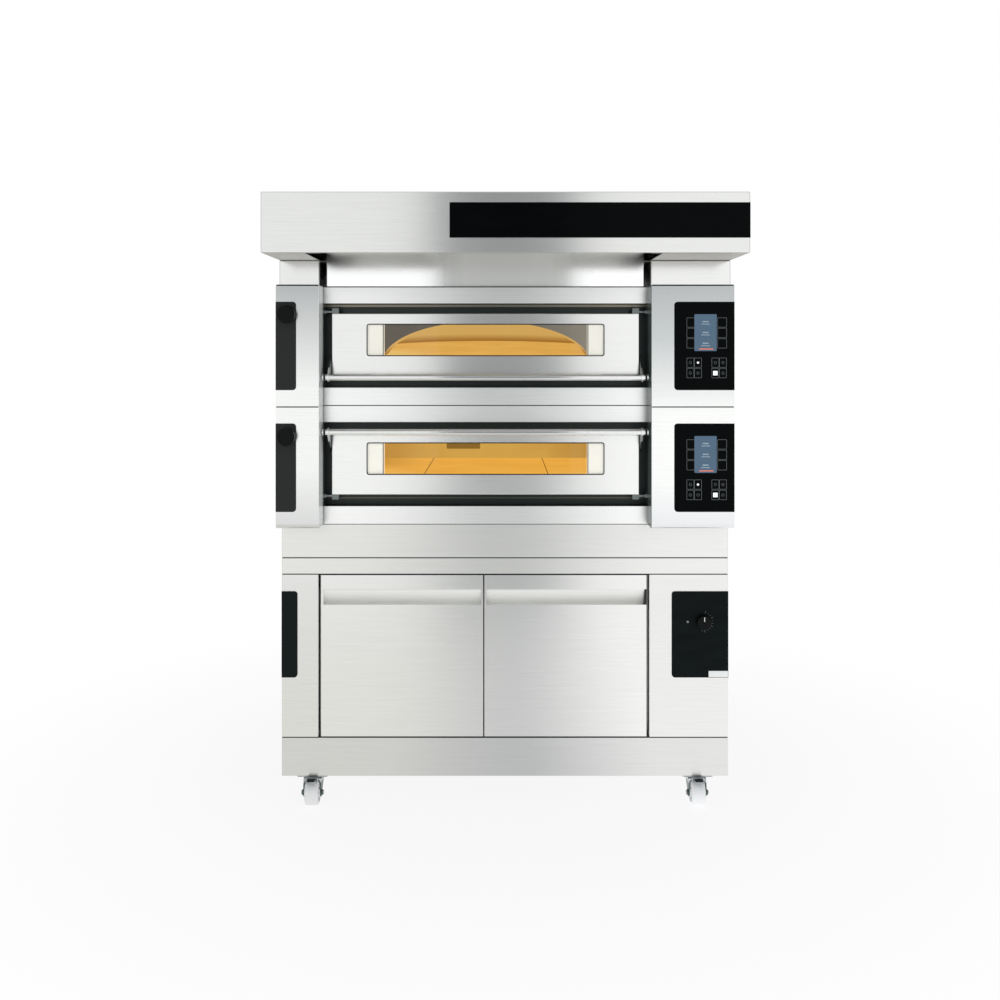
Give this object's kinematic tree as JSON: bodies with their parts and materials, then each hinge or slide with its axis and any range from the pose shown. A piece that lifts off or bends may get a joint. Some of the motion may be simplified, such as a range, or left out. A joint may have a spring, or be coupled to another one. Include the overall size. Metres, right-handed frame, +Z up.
{
  "type": "electric deck pizza oven on a leavening cabinet",
  "caption": "Floor-standing stainless electric pizza oven: stacked baking decks with glazed doors, leavening cabinet on castors, extraction hood.",
  "frame": {"origin": "middle of the overall box at floor level, under the castors", "axes": "+Z up, front towards -Y, +X to the right when facing the front"},
  "size_m": [1.36, 1.325, 1.89],
  "materials": {
    "stainless": "satin",
    "inner_steel": "satin",
    "zinc_steel": "satin",
    "bar_steel": "polished",
    "black_cover": "satin",
    "black_panel": "gloss",
    "black_knob": "satin",
    "window_glass": "gloss",
    "display_glass": "gloss",
    "hearth_stone": "matte",
    "refractory": "matte",
    "chamber_steel": "satin",
    "heater_rod": "matte",
    "lamp_glass": "satin",
    "mineral_wool": "matte",
    "wheel_grey": "satin",
    "red_lens": "gloss"
  },
  "bodies": {
    "root": {"base_frame": "stainless", "prover_left_side": "stainless", "prover_right_side": "stainless", "prover_top": "stainless", "spacer": "stainless", "deck_left_sides": "stainless", "deck_right_sides": "stainless", "door_surrounds": "stainless", "hood_support": "stainless", "hood_shell": "stainless", "prover_liner": "inner_steel", "deck_chassis": "inner_steel", "hood_filters": "inner_steel", "flue_duct": "inner_steel", "castor_plates": "zinc_steel", "tray_racks": "zinc_steel", "hinge_pins": "zinc_steel", "flue_collar": "zinc_steel", "left_covers": "black_cover", "cable_glands": "black_cover", "control_panels": "black_panel", "prover_control_panel": "black_panel", "sign_panel": "black_panel", "displays": "display_glass", "hearth_stones": "hearth_stone", "dome_insert": "refractory", "upper_chamber": "chamber_steel", "lower_chamber": "chamber_steel", "heating_elements": "heater_rod", "prover_heater": "heater_rod", "chamber_lamps": "lamp_glass", "insulation": "mineral_wool", "indicator_lamp": "red_lens"},
    "upper_door": {"upper_door_panel": "stainless", "upper_door_frame": "inner_steel", "upper_door_glass": "window_glass", "upper_door_handle": "bar_steel"},
    "lower_door": {"lower_door_panel": "stainless", "lower_door_frame": "inner_steel", "lower_door_glass": "window_glass", "lower_door_handle": "bar_steel"},
    "prover_left_leaf": {"prover_left_door": "stainless", "prover_left_door_liner": "inner_steel"},
    "prover_right_leaf": {"prover_right_door": "stainless", "prover_right_door_liner": "inner_steel"},
    "upper_damper": {"upper_damper_knob": "black_knob", "upper_damper_rod": "zinc_steel"},
    "lower_damper": {"lower_damper_knob": "black_knob", "lower_damper_rod": "zinc_steel"},
    "thermostat": {"thermostat_knob": "black_knob"},
    "front_left_castor": {"front_left_castor_fork": "zinc_steel"},
    "front_left_wheel": {"front_left_castor_wheel": "wheel_grey"},
    "front_left_brake": {"front_left_castor_brake": "zinc_steel"},
    "front_right_castor": {"front_right_castor_fork": "zinc_steel"},
    "front_right_wheel": {"front_right_castor_wheel": "wheel_grey"},
    "front_right_brake": {"front_right_castor_brake": "zinc_steel"},
    "back_left_castor": {"back_left_castor_fork": "zinc_steel"},
    "back_left_wheel": {"back_left_castor_wheel": "wheel_grey"},
    "back_right_castor": {"back_right_castor_fork": "zinc_steel"},
    "back_right_wheel": {"back_right_castor_wheel": "wheel_grey"}
  },
  "joints": [
    {"name": "upper_door_hinge", "type": "hinge", "parent": "root", "child": "upper_door", "pos_m": [-0.059, -0.3445, 1.507], "axis": [-1, 0, 0], "range_deg": [0, 90]},
    {"name": "lower_door_hinge", "type": "hinge", "parent": "root", "child": "lower_door", "pos_m": [-0.059, -0.3445, 0.944], "axis": [1, 0, 0], "range_deg": [0, 90]},
    {"name": "prover_left_hinge", "type": "hinge", "parent": "root", "child": "prover_left_leaf", "pos_m": [-0.548, -0.3475, 0.4585], "axis": [0, 0, -1], "range_deg": [0, 105]},
    {"name": "prover_right_hinge", "type": "hinge", "parent": "root", "child": "prover_right_leaf", "pos_m": [0.419, -0.3475, 0.4585], "axis": [0, 0, 1], "range_deg": [0, 105]},
    {"name": "upper_damper_slide", "type": "slide", "parent": "root", "child": "upper_damper", "axis": [0, -1, 0], "range_m": [0, 0.06]},
    {"name": "lower_damper_slide", "type": "slide", "parent": "root", "child": "lower_damper", "axis": [0, -1, 0], "range_m": [0, 0.06]},
    {"name": "thermostat_turn", "type": "hinge", "parent": "root", "child": "thermostat", "pos_m": [0.604, -0.3695, 0.563], "axis": [0, 1, 0], "range_deg": [0, 270]},
    {"name": "front_left_swivel", "type": "hinge", "parent": "root", "child": "front_left_castor", "pos_m": [-0.588, -0.3175, 0.084], "axis": [0, 0, 1], "continuous": true},
    {"name": "front_left_roll", "type": "hinge", "parent": "front_left_castor", "child": "front_left_wheel", "pos_m": [-0.588, -0.3455, 0.0375], "axis": [1, 0, 0], "continuous": true},
    {"name": "front_left_brake_tilt", "type": "hinge", "parent": "front_left_castor", "child": "front_left_brake", "pos_m": [-0.588, -0.3545, 0.0831], "axis": [-1, 0, 0], "range_deg": [0, 8]},
    {"name": "front_right_swivel", "type": "hinge", "parent": "root", "child": "front_right_castor", "pos_m": [0.588, -0.3175, 0.084], "axis": [0, 0, 1], "continuous": true},
    {"name": "front_right_roll", "type": "hinge", "parent": "front_right_castor", "child": "front_right_wheel", "pos_m": [0.588, -0.3455, 0.0375], "axis": [1, 0, 0], "continuous": true},
    {"name": "front_right_brake_tilt", "type": "hinge", "parent": "front_right_castor", "child": "front_right_brake", "pos_m": [0.588, -0.3545, 0.0831], "axis": [-1, 0, 0], "range_deg": [0, 8]},
    {"name": "back_left_swivel", "type": "hinge", "parent": "root", "child": "back_left_castor", "pos_m": [-0.588, 0.5655, 0.084], "axis": [0, 0, 1], "continuous": true},
    {"name": "back_left_roll", "type": "hinge", "parent": "back_left_castor", "child": "back_left_wheel", "pos_m": [-0.588, 0.5935, 0.0375], "axis": [1, 0, 0], "continuous": true},
    {"name": "back_right_swivel", "type": "hinge", "parent": "root", "child": "back_right_castor", "pos_m": [0.588, 0.5655, 0.084], "axis": [0, 0, 1], "continuous": true},
    {"name": "back_right_roll", "type": "hinge", "parent": "back_right_castor", "child": "back_right_wheel", "pos_m": [0.588, 0.5935, 0.0375], "axis": [1, 0, 0], "continuous": true}
  ]
}
